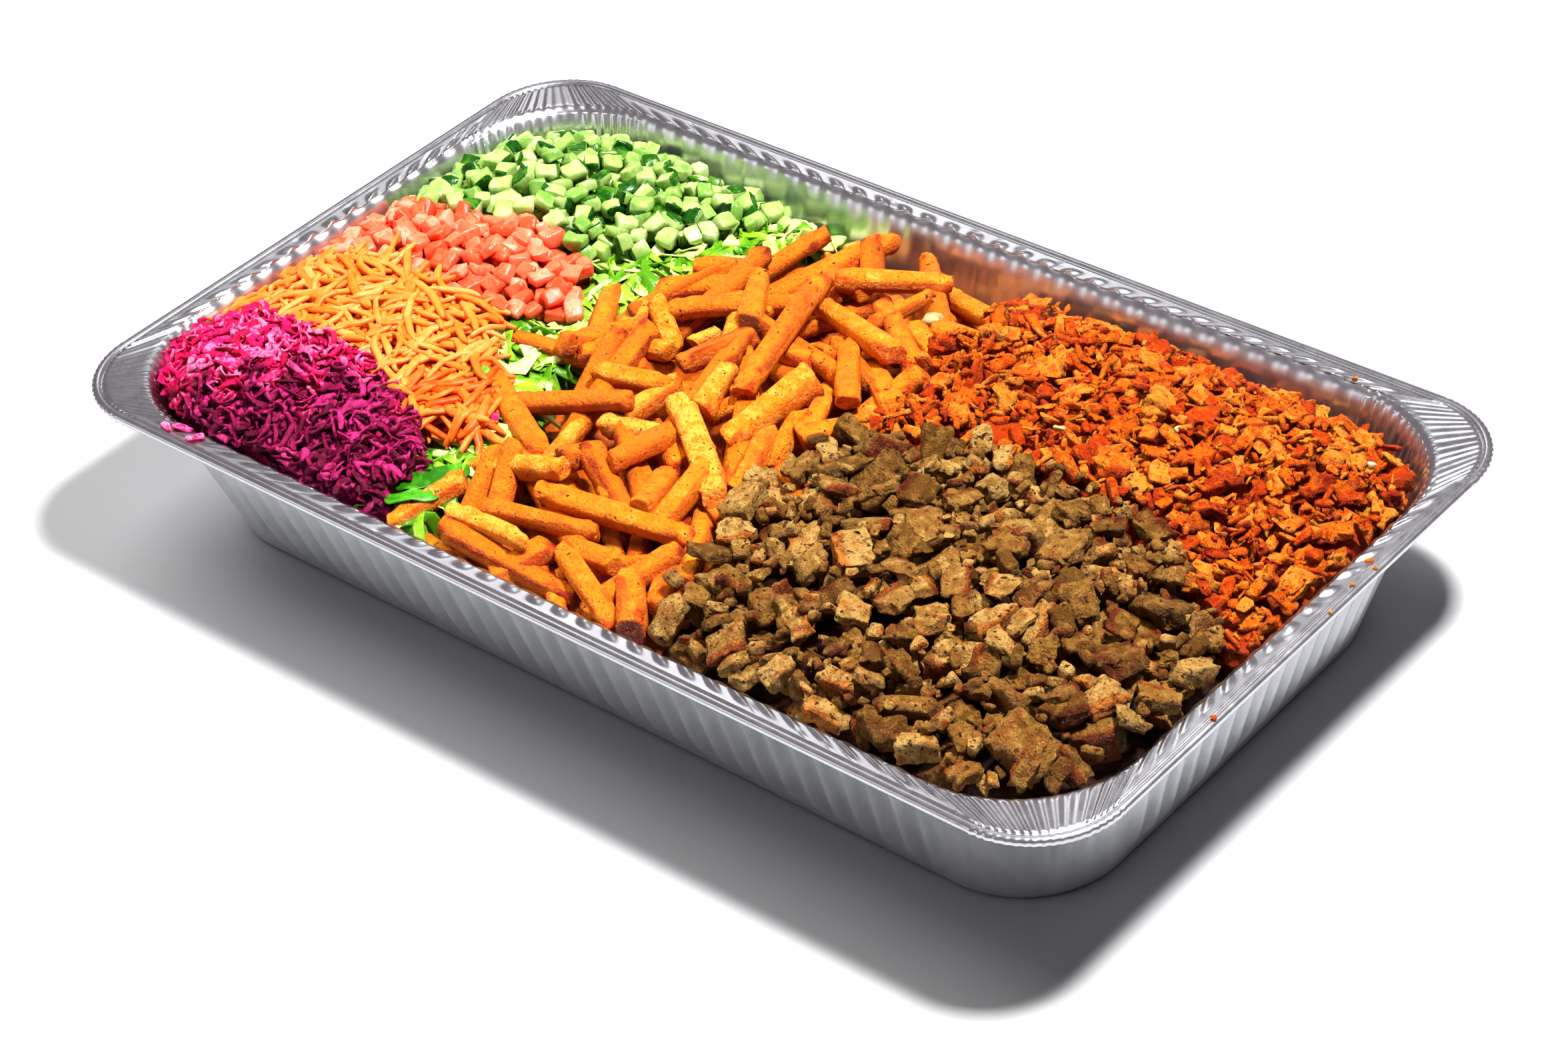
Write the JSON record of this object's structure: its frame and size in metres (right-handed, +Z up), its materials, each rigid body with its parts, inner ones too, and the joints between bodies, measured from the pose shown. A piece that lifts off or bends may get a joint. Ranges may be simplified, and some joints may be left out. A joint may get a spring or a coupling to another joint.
{
  "type": "foil tray meal",
  "caption": "Deep fluted foil catering tray filled with shredded and diced salad, fries and two kinds of chopped meat.",
  "frame": {"origin": "middle of the tray's flat base, on the surface it stands on", "axes": "+X along the tray's long side towards the chopped meats, +Y along the short side, +Z up"},
  "size_m": [0.527, 0.314, 0.0923],
  "materials": {
    "foil": "bright rolled foil with fine pleats and creases",
    "lettuce": "fresh, slightly glossy shredded leaf",
    "cucumber": "wet diced flesh with dark green skin",
    "tomato": "wet diced flesh",
    "carrot": "moist shreds",
    "cabbage": "wet red cabbage shreds",
    "fries": "fried, rough seasoned crust",
    "chicken": "chopped, crumbly, lightly oiled",
    "meat": "chopped slices, browned edges"
  },
  "bodies": {
    "root": {"tray": "foil", "lettuce_bed": "lettuce", "cucumber_heap": "cucumber", "tomato_heap": "tomato", "carrot_heap": "carrot", "cabbage_heap": "cabbage", "fries_heap": "fries", "chicken_heap": "chicken", "meat_heap": "meat"}
  },
  "joints": []
}
